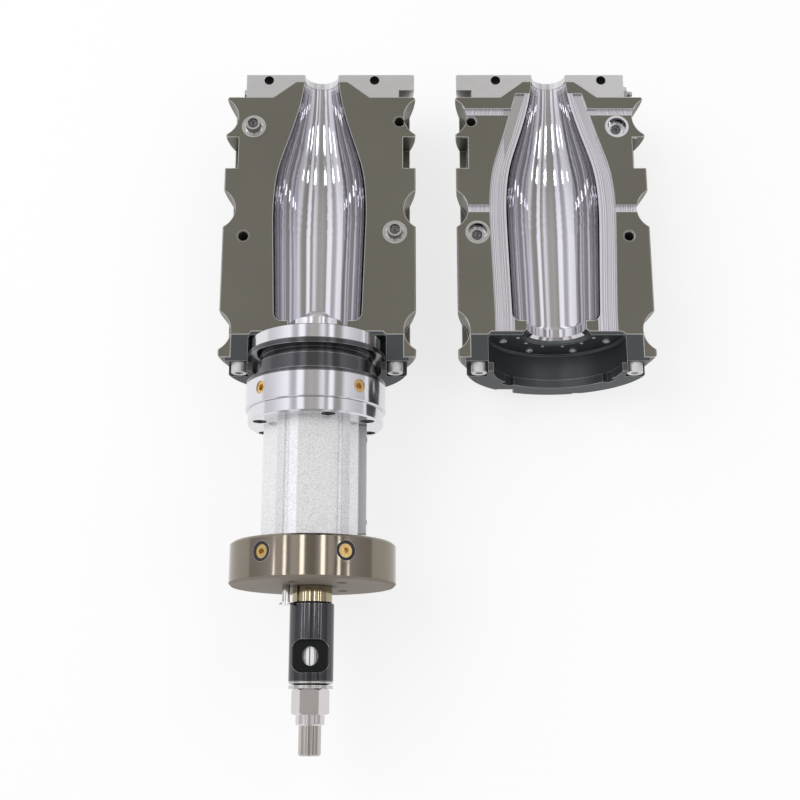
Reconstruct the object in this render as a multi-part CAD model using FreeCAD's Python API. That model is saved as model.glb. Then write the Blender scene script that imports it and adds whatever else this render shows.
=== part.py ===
import FreeCAD, Part
import os
from math import cos, radians, sin, sqrt

os.makedirs("parts", exist_ok=True)
V = FreeCAD.Vector

# Stretch-blow mould for a bottle of about 0.7 litre, lying open on its round backs.
# X runs from the left half to the right half, Y along the bottle towards its neck, Z up.
# Stations along Y are counted from the foot end of the mould halves. All sizes are in mm.

# Mould halves
body_radius = 78.0
body_length = 226.0
open_gap = 33.0
parting_gap = 0.1
edge_break = 0.7
end_chamfer = 1.5

# Neck boss and neck plate
boss_foot_radius = 40.0
boss_top_radius = 21.3
boss_height = 14.4
plate_lip_thickness = 6.2
plate_bore_radius = 13.8
plate_inset = 1.0
plate_flat_inset = 15.4
lug_inset = 13.8
lug_relief = 6.5
dowel_hole_radius = 4.0
dowel_hole_depth = 9.0
dowel_hole_distance = 44.0
dowel_hole_below_top = 5.0
plate_screw_circle = 55.0
plate_screw_angle = 42.0
side_plug_radius = 3.6
side_plug_height = 2.0
side_fitting_depth = 8.0
nipple_bore_radius = 0.9
nipple_length = 8.0

# Bottle cavity; its upper points are given by radius and distance from the neck end of the block
foot_radius = 35.0
foot_corner_radius = 7.0
foot_station = 30.2
bottle_radius = 37.5
bottle_widest_station = 112.0
waist_radius = 37.2
waist_below = 87.4
shoulder_radius = 34.0
shoulder_below = 63.4
taper_radius = 27.6
taper_below = 41.9
throat_radius = 19.5
throat_below = 15.0
finish_radius = 14.2

# Side pockets and notch for the clamps of the carrier
pocket_radius = 18.0
pocket_bite = 9.6
pocket_depth = 26.0
foot_pocket_station = 22.3
middle_pocket_below = 100.0
neck_pocket_below = 18.0
notch_bite = 10.4
notch_below = 64.3
notch_width = 27.9

# Relief channel round the cavity and vent channels to the outside, right half only
land_width = 5.6
relief_width = 7.6
relief_depth = 2.4
relief_end_above = 3.5
vent_width = 5.8
vent_depth = 2.0
neck_vent_below = 13.5

# Guides and fixing holes in the parting face, as distance from the block's edge and from its neck end
guide_outer_inset = 22.5
guide_outer_below = 26.7
guide_inner_inset = 16.9
guide_inner_below = 120.6
guide_radius = 9.5
guide_seat_depth = 15.0
guide_cone_base_radius = 7.5
guide_cone_top_radius = 5.8
guide_cone_height = 6.0
guide_clearance = 0.3
guide_pocket_radius = 4.4
guide_pocket_depth = 5.0
fixing_inner_inset = 13.2
fixing_inner_below = 22.2
fixing_outer_inset = 16.8
fixing_outer_below = 123.8
fixing_hole_radius = 4.0
fixing_hole_depth = 18.0
hole_mouth = 0.8

# Foot recess and the half ring in it
ring_outer_radius = 68.0
ring_bore_radius = 54.3
ring_flange_radius = 72.5
ring_flange_thickness = 11.4
ring_ear_height = 18.8
ring_top_station = 21.4
end_wall_thickness = 3.2
end_wall_bore = 26.0
lip_radius = 50.5
lip_thickness = 7.0
lip_slot_width = 11.0
lip_slot_angles = (-58.0, 44.0)
ring_screw_distance = 61.4
ring_screw_drop = 7.6
ring_screw_radius = 4.0
ring_screw_head_radius = 6.3
ring_screw_head_height = 8.0
ring_screw_length = 34.0
ring_screw_seat = 3.2
ear_clearance = 0.3
ear_cut_depth = 15.5
key_notch_width = 14.0
key_notch_depth = 4.0
key_notch_positions = (-44.0, 20.0)

# Base form and its bore
insert_bore_radius = 23.3
insert_bore_chamfer = 2.2
insert_radius = 21.3
insert_thickness = 8.5
insert_top_station = 27.0
dome_radius = 13.0
dome_height = 10.5
stroke_up = 3.0
stroke_down = 10.0

# Fixed rings of the base unit, from the cavity to the tail
seat_clearance = 0.1
body_clearance = 0.4
collar_flange_thickness = 4.3
groove_radius = 44.0
groove_height = 5.4
band_radius = 46.8
band_height = 11.0
collar_lip_slope = 2.4
collar_lip_height = 2.3
head_ring_radius = 50.7
head_ring_height = 11.4
insert_pocket_radius = 23.4
insert_pocket_depth = 8.4
cylinder_head_radius = 54.1
cylinder_head_height = 20.5
cylinder_cap_radius = 52.2
cylinder_cap_height = 10.7
ring_edge = 0.6
head_screw_circle = 36.0
head_screw_angles = (45.0, 135.0, 225.0, 315.0)
screw_pocket_radius = 5.2
screw_pocket_depth = 6.6
cap_screw_circle = 44.9
cap_screw_angles = (-66.0, 16.0, 65.0, 115.0, 180.0, 245.0)
head_plug_angles = (-46.4, 40.7)
head_plug_radius = 5.0
head_plug_length = 9.0
head_plug_offset = 0.9

# Barrel
barrel_length = 91.2
barrel_radius = 39.6
barrel_flat_distance = 37.9
barrel_bore_radius = 30.0
barrel_turn = 2.0
lobe_count = 6
flute_radius = 2.3
barrel_spigot_radius = 32.0
barrel_spigot_length = 6.0
rail_face_distance = 33.8
rail_width = 12.0
rail_length = 82.0
rail_lift = 1.0

# Tail flange
tail_flange_radius = 62.2
tail_flange_height = 31.3
tail_flange_chamfer = 1.6
tail_screw_circle = 35.4
tail_pocket_radius = 3.9
tail_pocket_depth = 4.6
tail_screw_angles = (39.0, 141.0, 201.0, 339.0)
flange_port_angles = (-32.4, 26.0)
flange_port_offset = 11.8
flange_port_radius = 7.3
flange_port_depth = 7.0
flange_seal_bore = 5.0
flange_seal_sink = 0.4
flange_plug_radius = 4.9
stop_pin_place = (-18.4, 12.8)
stop_pin_radius = 2.9
stop_pin_length = 13.0
stop_pin_grip = 9.0
stop_pin_head_radius = 5.0
stop_pin_head_height = 1.5

# Rods, piston and tail
running_clearance = 0.05
stem_radius = 10.0
stem_grip = 5.0
stem_bush_radius = 13.5
stem_bush_length = 15.0
stem_seal_height = 3.0
piston_clearance = 0.1
piston_height = 26.0
piston_seal_width = 3.4
piston_seal_depth = 3.0
piston_seal_count = 2
stop_tube_radius = 21.0
rod_radius = 14.9
rod_exposed = 12.7
rod_bush_radius = 18.5
rod_bush_length = 20.0
rod_wiper_height = 4.0
sleeve_radius = 16.5
sleeve_length = 56.4
tail_radius = 8.5
tail_end_radius = 8.25
tail_end_length = 21.2
tail_end_chamfer = 1.0
window_start = 26.3
window_height = 24.1
window_half_width = 14.1
window_hole_width = 12.2
window_hole_height = 14.5
washer_radius = 16.2
washer_thickness = 2.4
spring_washer_rise = 2.6
nut_across_flats = 24.0
nut_height = 18.4
nut_collar_radius = 10.6
nut_collar_height = 7.4

# Places in the mould halves worked out from the sizes above
plate_radius = body_radius - plate_inset
plate_flat_distance = body_radius - plate_flat_inset
lug_start = body_radius - lug_inset
waist_station = body_length - waist_below
shoulder_station = body_length - shoulder_below
taper_station = body_length - taper_below
throat_station = body_length - throat_below
middle_pocket_station = body_length - middle_pocket_below
pocket_stations = (foot_pocket_station, middle_pocket_station, body_length - neck_pocket_below)
notch_low_station = body_length - notch_below
relief_end_station = body_length + relief_end_above
vent_stations = (middle_pocket_station, body_length - neck_vent_below)
guide_outer = (body_radius - guide_outer_inset, body_length - guide_outer_below)
guide_inner = (guide_inner_inset - body_radius, body_length - guide_inner_below)
fixing_hole_inner = (fixing_inner_inset - body_radius, body_length - fixing_inner_below)
fixing_hole_outer = (body_radius - fixing_outer_inset, body_length - fixing_outer_below)
ear_cut_start = ring_screw_distance - ring_screw_head_radius - ear_clearance

# Stations worked out from the sizes above
boss_top = body_length + boss_height
plate_top = boss_top + plate_lip_thickness
ring_end = -ring_flange_thickness
lip_top = ring_end + lip_thickness
end_wall_face = ring_top_station - end_wall_thickness
collar_flange_end = lip_top
head_ring_end = collar_flange_end + collar_flange_thickness
head_ring_top = head_ring_end + head_ring_height
groove_end = collar_flange_end - groove_height
band_end = groove_end - band_height
collar_end = band_end - collar_lip_slope - collar_lip_height
head_end = collar_end - cylinder_head_height
cap_end = head_end - cylinder_cap_height
barrel_end = cap_end - barrel_length
flange_end = barrel_end - tail_flange_height
sleeve_top = flange_end - rod_exposed
sleeve_end = sleeve_top - sleeve_length
flat_washer_top = sleeve_end - spring_washer_rise
nut_top = flat_washer_top - washer_thickness
nut_end = nut_top - nut_height - nut_collar_height
tail_end = nut_end - tail_end_length
chamber_end = barrel_end - barrel_spigot_length
piston_top = head_end - stroke_up
piston_end = piston_top - piston_height
insert_end = insert_top_station - insert_thickness

# The part's own frame: middle of its footprint, on the surface that it lies on
half_spacing = body_radius + open_gap / 2
axis_height = body_radius
middle_station = (plate_top + tail_end) / 2
face_drop = parting_gap / 2


def turned(points):
    """Solid turned about the mould's axis from an outline given as radius and station."""
    corners = [V(radius, station, 0) for radius, station in points]
    outline = Part.makePolygon(corners + [corners[0]])
    return Part.Face(outline).revolve(V(0, 0, 0), V(0, 1, 0), 360)


def tube(outer, inner, start, end):
    """Plain ring between two stations."""
    low = min(start, end)
    height = abs(end - start)
    ring = Part.makeCylinder(outer, height, V(0, low, 0), V(0, 1, 0))
    return ring.cut(Part.makeCylinder(inner, height, V(0, low, 0), V(0, 1, 0)))


def along(radius, start, end, x=0.0, z=0.0):
    """Round bar parallel to the axis, between two stations."""
    return Part.makeCylinder(radius, abs(end - start), V(x, min(start, end), z), V(0, 1, 0))


def radial(radius, inner, outer, station, angle):
    """Round bar that points away from the axis; the angle is counted from straight up."""
    way = V(sin(radians(angle)), 0, cos(radians(angle)))
    return Part.makeCylinder(radius, outer - inner, V(0, station, 0) + way * inner, way)


def block(x0, x1, y0, y1, z0, z1):
    return Part.makeBox(x1 - x0, y1 - y0, z1 - z0, V(x0, y0, z0))


def below_parting(shape):
    """The part of a shape that lies under the parting face of a half."""
    box = shape.BoundBox
    margin = 1.0
    keep = block(box.XMin - margin, box.XMax + margin, box.YMin - margin, box.YMax + margin,
                 box.ZMin - margin, -face_drop)
    return shape.common(keep)


def sunk(radius, depth, x, station):
    """Round hole that goes down from the parting face."""
    return Part.makeCylinder(radius, depth, V(x, station, -face_drop), V(0, 0, -1))


def prism(across_flats, length, base, way):
    """Hexagonal prism that starts at a point and runs along a direction."""
    corner = across_flats / sqrt(3.0)
    turn = FreeCAD.Rotation(V(0, 0, 1), way)
    corners = [V(corner * cos(radians(60 * k)), corner * sin(radians(60 * k)), 0) for k in range(7)]
    face = Part.Face(Part.makePolygon(corners))
    face.Placement = FreeCAD.Placement(base, turn)
    return face.extrude(way * length)


def socket_screw(radius, length, head_radius, head_height, base, way):
    """Cap screw with a hexagon socket; base is the middle of the head's outer face."""
    edge = head_radius * 0.08
    head = Part.makeCylinder(head_radius, head_height - edge, base + way * edge, way)
    head = head.fuse(Part.makeCone(head_radius - edge, head_radius, edge, base, way))
    shank = Part.makeCylinder(radius, length - head_height, base + way * head_height, way)
    socket = prism(head_radius * 0.9, head_height * 0.55, base, way)
    return head.fuse(shank).cut(socket)


def around(angle, circle):
    """Place on a circle about the axis, the angle counted from straight up."""
    return circle * sin(radians(angle)), circle * cos(radians(angle))


def place(shape, x):
    moved = shape.copy()
    moved.translate(V(x, -middle_station, axis_height))
    return moved


def save(name, shape, x):
    place(shape, x).exportStep("parts/" + name + ".step")


def cavity_line(offset, end_station):
    """Edge of the bottle from its foot to its neck, moved outwards by an offset."""
    foot = V(foot_radius + offset, foot_station + foot_corner_radius, 0)
    widest = V(bottle_radius + offset, bottle_widest_station, 0)
    curve = Part.BSplineCurve()
    curve.interpolate([widest, V(waist_radius + offset, waist_station, 0),
                       V(shoulder_radius + offset, shoulder_station, 0),
                       V(taper_radius + offset, taper_station, 0),
                       V(throat_radius + offset, throat_station, 0),
                       V(finish_radius + offset, end_station, 0)])
    return [Part.makeLine(foot, widest), curve.toShape()]


def bottle():
    """The bottle's outside, from the mould's foot bore to above the neck."""
    start = V(foot_radius, foot_station + foot_corner_radius, 0)
    side = cavity_line(0.0, boss_top)
    bend = foot_corner_radius * (1 - cos(radians(45)))
    corner = Part.Arc(V(foot_radius - foot_corner_radius, foot_station, 0),
                      V(foot_radius - bend, foot_station + bend, 0), start).toShape()
    rim = V(finish_radius, boss_top, 0)
    top = boss_top + plate_lip_thickness
    close = Part.makePolygon([rim, V(finish_radius, top, 0), V(0, top, 0), V(0, foot_station, 0),
                              V(foot_radius - foot_corner_radius, foot_station, 0)])
    outline = Part.Wire([corner] + side + close.Edges)
    return Part.Face(outline).revolve(V(0, 0, 0), V(0, 1, 0), 360)


def relief_channel():
    """Channel that follows the bottle at a fixed distance, on both sides of the cavity."""
    near = cavity_line(land_width, relief_end_station)
    far = cavity_line(land_width + relief_width, relief_end_station)
    low = ring_top_station - 1.0
    foot = foot_station + foot_corner_radius
    inner = foot_radius + land_width
    outer = inner + relief_width
    neck = finish_radius + land_width
    legs = Part.makePolygon([V(inner, foot, 0), V(inner, low, 0), V(outer, low, 0), V(outer, foot, 0)])
    cap = Part.makeLine(V(neck, relief_end_station, 0), V(neck + relief_width, relief_end_station, 0))
    wire = Part.Wire(Part.__sortEdges__(near + far + [cap] + legs.Edges))
    channel = Part.Face(wire).extrude(V(0, 0, -relief_depth))
    channel.translate(V(0, 0, -face_drop))
    return channel.fuse(channel.mirror(V(0, 0, 0), V(1, 0, 0)))


def vent_channels():
    """Straight channels from the relief channel out to both sides."""
    reach = body_radius + 1.0
    start = foot_radius + land_width + relief_width / 2
    cuts = []
    for station in vent_stations:
        near = start if station < shoulder_station else throat_radius + land_width + relief_width / 2
        for side in (-1, 1):
            x0, x1 = sorted((side * near, side * reach))
            cuts.append(block(x0, x1, station - vent_width / 2, station + vent_width / 2,
                              -face_drop - vent_depth, 0))
    return cuts


def side_cuts():
    """Round pockets and the notch at both edges of the parting face."""
    cuts = []
    for side in (-1, 1):
        for station in pocket_stations:
            middle = side * (body_radius - pocket_bite + pocket_radius)
            cuts.append(Part.makeCylinder(pocket_radius, pocket_depth + 1, V(middle, station, 1), V(0, 0, -1)))
        x0, x1 = sorted((side * (body_radius - notch_bite), side * (body_radius + 1)))
        cuts.append(block(x0, x1, notch_low_station, notch_low_station + notch_width, -pocket_depth, 1))
    return cuts


def recess():
    """Stepped recess in the foot of a half for the base ring, with the bore above it."""
    top = ring_top_station
    bore = insert_bore_radius
    chamfer = insert_bore_chamfer
    step = ring_bore_radius
    bevel = ring_top_station - ring_ear_height
    return turned([(0, -1), (ring_outer_radius, -1), (ring_outer_radius, ring_ear_height),
                   (step, ring_ear_height), (step - bevel, top), (bore + chamfer, top),
                   (bore, top + chamfer), (bore, foot_station + 1), (0, foot_station + 1)])


def outer_edges(shape):
    """The two long edges of the parting face of a half."""
    chosen = []
    for edge in shape.Edges:
        box = edge.BoundBox
        if box.YLength > body_length / 2 and abs(box.ZMin + face_drop) < 0.01:
            chosen.append(edge)
    return chosen


def mould_body(side, with_relief):
    """One half block; side is -1 for the left half and 1 for the right half."""
    chamfer = end_chamfer
    block_round = turned([(0, 0), (body_radius - chamfer, 0), (body_radius, chamfer),
                          (body_radius, body_length - chamfer), (body_radius - chamfer, body_length),
                          (boss_foot_radius, body_length), (boss_top_radius, boss_top), (0, boss_top)])
    body = below_parting(block_round)
    body = body.makeChamfer(edge_break, outer_edges(body))
    for cut in side_cuts():
        body = body.cut(cut)
    body = body.cut(bottle())
    body = body.cut(recess())
    for outward, station in (guide_outer, guide_inner):
        body = body.cut(sunk(guide_radius, guide_seat_depth, side * outward, station))
    for outward, station in (fixing_hole_inner, fixing_hole_outer):
        x = side * outward
        body = body.cut(sunk(fixing_hole_radius, fixing_hole_depth, x, station))
        body = body.cut(Part.makeCone(fixing_hole_radius + hole_mouth, fixing_hole_radius, hole_mouth,
                                      V(x, station, -face_drop), V(0, 0, -1)))
    for x in (-ring_screw_distance, ring_screw_distance):
        screw_end = ring_screw_length - ring_screw_head_height - ring_screw_seat
        body = body.cut(along(ring_screw_radius, 0, screw_end, x, -ring_screw_drop))
    if with_relief:
        body = body.cut(relief_channel())
        for cut in vent_channels():
            body = body.cut(cut)
    return body


def plate_screw_places():
    places = []
    for side in (-1, 1):
        x, z = around(180 + side * plate_screw_angle, plate_screw_circle)
        places.append((x, z))
    return places


def neck_plate(side):
    """Half plate over the neck boss, with a flat outside and a relieved lug inside."""
    edge = edge_break
    gap = seat_clearance
    plate = below_parting(turned([
        (plate_bore_radius, boss_top + gap), (boss_top_radius, boss_top + gap),
        (boss_foot_radius + gap, body_length + gap), (plate_radius, body_length + gap),
        (plate_radius, plate_top - edge), (plate_radius - edge, plate_top),
        (plate_bore_radius + edge, plate_top), (plate_bore_radius, plate_top - edge)]))
    reach = plate_radius + 1
    x0, x1 = sorted((side * plate_flat_distance, side * reach))
    plate = plate.cut(block(x0, x1, body_length - 1, plate_top + 1, -reach, 1))
    x0, x1 = sorted((-side * lug_start, -side * reach))
    plate = plate.cut(block(x0, x1, body_length - 1, body_length + lug_relief, -reach, 1))
    for x in (-dowel_hole_distance, dowel_hole_distance):
        plate = plate.cut(sunk(dowel_hole_radius, dowel_hole_depth, x, plate_top - dowel_hole_below_top))
    for x, z in plate_screw_places():
        plate = plate.cut(along(screw_pocket_radius, plate_top - screw_pocket_depth, plate_top + 1, x, z))
    station, depth = side_fitting_place()
    flat = side * plate_flat_distance
    hole = Part.makeCylinder(side_plug_radius, side_fitting_depth, V(flat, station, depth), V(-side, 0, 0))
    return plate.cut(hole)


def side_fitting_place():
    """Station and height of the fitting in the plate's outer flat."""
    return body_length + 2 * side_plug_radius - 1.0, -side_plug_radius - 3.0


def plate_plug(side):
    """Round-headed plug in the plate's outer flat."""
    station, height = side_fitting_place()
    flat = side * plate_flat_distance
    inward = V(-side, 0, 0)
    stem = Part.makeCylinder(side_plug_radius, side_fitting_depth + side_plug_height,
                             V(flat + side * side_plug_height, station, height), inward)
    face = V(flat + side * side_plug_height, station, height)
    return stem.cut(prism(side_plug_radius, side_plug_height, face, inward))


def hose_nipple(side):
    """Ribbed hose nipple with a soft tip, screwed into the plate's outer flat."""
    station, height = side_fitting_place()
    flat = side * plate_flat_distance
    outward = V(side, 0, 0)
    base = V(flat, station, height)
    shank = Part.makeCylinder(side_plug_radius, side_fitting_depth, base, outward * -1)
    shape = shank.fuse(prism(side_plug_radius * 2.9, 3.0, base, outward))
    stem = Part.makeCylinder(side_plug_radius * 0.55, nipple_length, base, outward)
    shape = shape.fuse(stem)
    for step in (3.4, 5.6):
        rib = Part.makeCone(side_plug_radius * 0.8, side_plug_radius * 0.55, 1.8, base + outward * step, outward)
        shape = shape.fuse(rib)
    return shape.cut(Part.makeCylinder(nipple_bore_radius, nipple_length + side_fitting_depth,
                                       base + outward * nipple_length, outward * -1))


def base_ring():
    """Half ring in the foot recess: end wall, bore, locking lip and outer flange."""
    gap = seat_clearance
    top = ring_top_station - gap
    outer = ring_outer_radius - gap
    step = ring_bore_radius - gap
    bevel = ring_top_station - ring_ear_height
    ear_top = ring_ear_height - gap
    chamfer = end_chamfer
    ring = below_parting(turned([
        (end_wall_bore + chamfer, end_wall_face), (end_wall_bore, end_wall_face + chamfer),
        (end_wall_bore, top), (step - bevel, top), (step, ear_top), (outer, ear_top), (outer, -gap),
        (ring_flange_radius, -gap), (ring_flange_radius, ring_end + chamfer),
        (ring_flange_radius - chamfer, ring_end), (lip_radius, ring_end), (lip_radius, lip_top),
        (ring_bore_radius, lip_top), (ring_bore_radius, end_wall_face - chamfer),
        (ring_bore_radius - chamfer, end_wall_face)]))
    reach = ring_flange_radius + 1
    for side in (-1, 1):
        x0, x1 = sorted((side * ear_cut_start, side * reach))
        ring = ring.cut(block(x0, x1, ring_end - 1, -ring_screw_seat, -ear_cut_depth, 1))
        ring = ring.cut(along(ring_screw_radius + gap, ring_end, ring_ear_height + 1,
                              side * ring_screw_distance, -ring_screw_drop))
    for angle in lip_slot_angles:
        cutter = block(-lip_slot_width / 2, lip_slot_width / 2, ring_end - 1, lip_top + 1,
                       -ring_bore_radius - 1, -lip_radius + 4)
        cutter.rotate(V(0, 0, 0), V(0, 1, 0), angle)
        ring = ring.cut(cutter)
    for x in key_notch_positions:
        low = -sqrt(ring_flange_radius ** 2 - x ** 2)
        ring = ring.cut(block(x, x + key_notch_width, ring_end - 1, -gap - 1,
                              low - 10, low + key_notch_depth))
    return ring


def base_ring_screws():
    screws = []
    for x in (-ring_screw_distance, ring_screw_distance):
        base = V(x, -ring_screw_seat - ring_screw_head_height, -ring_screw_drop)
        screws.append(socket_screw(ring_screw_radius, ring_screw_length, ring_screw_head_radius,
                                   ring_screw_head_height, base, V(0, 1, 0)))
    return Part.makeCompound(screws)


def cone_up(outward, station, grow, height):
    """Tapered column of a guide, standing on the parting face, grown by a clearance."""
    return Part.makeCone(guide_cone_base_radius + grow, guide_cone_top_radius + grow, height,
                         V(outward, station, 0), V(0, 0, 1))


def guide_pins(side):
    """Guides with a tapered head that stands above the parting face of the left half."""
    pins = []
    for outward, station in (guide_outer, guide_inner):
        x = side * outward
        top = guide_cone_height
        seat = Part.makeCylinder(guide_radius, guide_seat_depth - face_drop, V(x, station, -guide_seat_depth),
                                 V(0, 0, 1))
        neck = Part.makeCylinder(guide_cone_base_radius, face_drop, V(x, station, -face_drop), V(0, 0, 1))
        pin = seat.fuse(neck).fuse(cone_up(x, station, 0.0, top))
        pin = pin.cut(Part.makeCylinder(guide_pocket_radius, guide_pocket_depth, V(x, station, top), V(0, 0, -1)))
        pins.append(pin)
    return Part.makeCompound(pins)


def guide_bushes(side):
    """Bushes of the right half with a tapered mouth that the guides enter."""
    bushes = []
    for outward, station in (guide_outer, guide_inner):
        x = side * outward
        bush = Part.makeCylinder(guide_radius, guide_seat_depth - face_drop, V(x, station, -guide_seat_depth),
                                 V(0, 0, 1))
        mouth = Part.makeCone(guide_cone_base_radius + guide_clearance, guide_cone_top_radius + guide_clearance,
                              guide_cone_height + guide_clearance, V(x, station, -face_drop + 0.001),
                              V(0, 0, -1))
        bush = bush.cut(mouth)
        bush = bush.cut(Part.makeCylinder(guide_pocket_radius, guide_cone_height + guide_pocket_depth,
                                          V(x, station, 0), V(0, 0, -1)))
        bushes.append(bush)
    return Part.makeCompound(bushes)


def base_head():
    """Bright ring that faces the foot of the cavity, with a pocket for the base form."""
    edge = ring_edge
    ring = turned([(stem_radius + 1, head_ring_end), (head_ring_radius, head_ring_end),
                   (head_ring_radius, head_ring_top - edge), (head_ring_radius - edge, head_ring_top),
                   (insert_pocket_radius, head_ring_top),
                   (insert_pocket_radius, head_ring_top - insert_pocket_depth),
                   (stem_radius + 1, head_ring_top - insert_pocket_depth)])
    for angle in head_screw_angles:
        x, z = around(angle, head_screw_circle)
        ring = ring.cut(along(screw_pocket_radius, head_ring_top - screw_pocket_depth, head_ring_top + 1, x, z))
    return ring


def locking_collar():
    """Dark collar whose groove takes the lips of both base rings."""
    flange_radius = ring_bore_radius - body_clearance
    return turned([(stem_radius + 1, collar_end), (flange_radius, collar_end),
                   (flange_radius, collar_end + collar_lip_height),
                   (band_radius, band_end), (band_radius, groove_end), (groove_radius, groove_end),
                   (groove_radius, collar_flange_end), (flange_radius, collar_flange_end),
                   (flange_radius, head_ring_end - ring_edge), (flange_radius - ring_edge, head_ring_end),
                   (stem_radius + 1, head_ring_end)])


def cylinder_head():
    """Bright ring over the barrel's chamber, with the stem's bush and two radial ports."""
    edge = ring_edge
    bush_end = collar_end - stem_bush_length
    ring = turned([(stem_radius + 1, head_end), (cylinder_head_radius - edge, head_end),
                   (cylinder_head_radius, head_end + edge), (cylinder_head_radius, collar_end - edge),
                   (cylinder_head_radius - edge, collar_end), (stem_bush_radius, collar_end),
                   (stem_bush_radius, bush_end), (stem_radius + 1, bush_end)])
    for angle in head_plug_angles:
        ring = ring.cut(radial(head_plug_radius, cylinder_head_radius - head_plug_length,
                               cylinder_head_radius + 1, head_plug_station(), angle))
    return ring


def head_plug_station():
    return (collar_end + head_end) / 2 + head_plug_offset


def head_plugs():
    plugs = []
    for angle in head_plug_angles:
        outer = cylinder_head_radius - 0.9
        plug = radial(head_plug_radius, cylinder_head_radius - head_plug_length, outer, head_plug_station(), angle)
        way = V(sin(radians(angle)), 0, cos(radians(angle)))
        face = V(0, head_plug_station(), 0) + way * outer
        plugs.append(plug.cut(prism(head_plug_radius, 3.0, face, way * -1)))
    return Part.makeCompound(plugs)


def stem_bush():
    inner = stem_radius + running_clearance
    return tube(stem_bush_radius, inner, collar_end - stem_bush_length + stem_seal_height, collar_end)


def stem_seal():
    inner = stem_radius + running_clearance
    low = collar_end - stem_bush_length
    return tube(stem_bush_radius, inner, low, low + stem_seal_height)


def cylinder_cap():
    """Bright ring that clamps the barrel to the head, with screw pockets underneath."""
    edge = ring_edge
    spigot_end = cap_end + barrel_spigot_length
    ring = turned([(barrel_bore_radius, spigot_end), (barrel_spigot_radius, spigot_end),
                   (barrel_spigot_radius, cap_end), (cylinder_cap_radius - 2 * edge, cap_end),
                   (cylinder_cap_radius, cap_end + 2 * edge), (cylinder_cap_radius, head_end),
                   (barrel_bore_radius, head_end)])
    for angle in cap_screw_angles:
        x, z = around(angle, cap_screw_circle)
        ring = ring.cut(along(screw_pocket_radius, cap_end - 1, cap_end + screw_pocket_depth, x, z))
    return ring


def cylinder_barrel():
    """Extruded barrel: six lobes with flats between flutes, one side cut flat for the rail."""
    barrel = along(barrel_radius, barrel_end, cap_end)
    step = 360.0 / lobe_count
    low = barrel_end - 1
    high = cap_end + 1
    for k in range(lobe_count):
        slab = block(-barrel_radius, barrel_radius, low, high, barrel_flat_distance, barrel_radius + 1)
        slab.rotate(V(0, 0, 0), V(0, 1, 0), barrel_turn + step * k)
        barrel = barrel.cut(slab)
    for k in range(lobe_count):
        x, z = around(barrel_turn + step / 2 + step * k, barrel_radius)
        barrel = barrel.cut(along(flute_radius, low, high, x, z))
    barrel = barrel.cut(block(rail_face_distance, barrel_radius + 1, low, high, -barrel_radius, barrel_radius))
    spigot = barrel_spigot_radius - seat_clearance
    barrel = barrel.fuse(along(spigot, chamber_end, cap_end + barrel_spigot_length - seat_clearance))
    return barrel.cut(along(barrel_bore_radius, chamber_end - 1, cap_end + barrel_spigot_length + 1))


def sensor_rail():
    """Grey rail on the flat side of the barrel, with a slot along it."""
    top = cap_end - rail_lift
    rail = block(rail_face_distance, barrel_radius, top - rail_length, top, -rail_width / 2, rail_width / 2)
    slot = block(barrel_radius - 2.5, barrel_radius + 1, top - rail_length - 1, top + 1, -2.0, 2.0)
    return rail.cut(slot)


def flange_port_station():
    return barrel_end - flange_port_offset


def tail_flange():
    """Bronze-coloured disc that closes the barrel and carries the rod's bush."""
    edge = tail_flange_chamfer
    bush_top = flange_end + rod_wiper_height + rod_bush_length
    disc = turned([(rod_radius + 0.5, chamber_end), (barrel_spigot_radius, chamber_end),
                   (barrel_spigot_radius, barrel_end), (tail_flange_radius - edge, barrel_end),
                   (tail_flange_radius, barrel_end - edge), (tail_flange_radius, flange_end + edge),
                   (tail_flange_radius - edge, flange_end), (rod_bush_radius, flange_end),
                   (rod_bush_radius, bush_top), (rod_radius + 0.5, bush_top)])
    for angle in tail_screw_angles:
        x, z = around(angle + barrel_turn, tail_screw_circle)
        disc = disc.cut(along(tail_pocket_radius, flange_end - 1, flange_end + tail_pocket_depth, x, z))
    for angle in flange_port_angles:
        disc = disc.cut(radial(flange_port_radius, tail_flange_radius - flange_port_depth,
                               tail_flange_radius + 1, flange_port_station(), angle))
    x, z = stop_pin_place
    return disc.cut(along(stop_pin_radius, flange_end - 1, flange_end + stop_pin_grip, x, z))


def flange_port_seals():
    seals = []
    for angle in flange_port_angles:
        inner = tail_flange_radius - flange_port_depth
        outer = tail_flange_radius - flange_seal_sink
        station = flange_port_station()
        ring = radial(flange_port_radius, inner, outer, station, angle)
        seals.append(ring.cut(radial(flange_seal_bore, inner - 1, outer + 1, station, angle)))
    return Part.makeCompound(seals)


def flange_port_plugs():
    plugs = []
    for angle in flange_port_angles:
        inner = tail_flange_radius - flange_port_depth
        outer = tail_flange_radius - 2 * flange_seal_sink
        station = flange_port_station()
        plug = radial(flange_plug_radius, inner, outer, station, angle)
        way = V(sin(radians(angle)), 0, cos(radians(angle)))
        face = V(0, station, 0) + way * outer
        plugs.append(plug.cut(prism(flange_plug_radius * 0.9, 3.0, face, way * -1)))
    return Part.makeCompound(plugs)


def rod_bush():
    low = flange_end + rod_wiper_height
    return tube(rod_bush_radius, rod_radius + running_clearance, low, low + rod_bush_length)


def rod_wiper():
    return tube(rod_bush_radius, rod_radius + running_clearance, flange_end, flange_end + rod_wiper_height)


def stop_pin():
    """Headed pin that hangs from the tail flange beside the rod."""
    x, z = stop_pin_place
    pin = along(stop_pin_radius, flange_end - stop_pin_length, flange_end + stop_pin_grip, x, z)
    head_top = flange_end - stop_pin_length
    return pin.fuse(along(stop_pin_head_radius, head_top - stop_pin_head_height, head_top, x, z))


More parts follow.
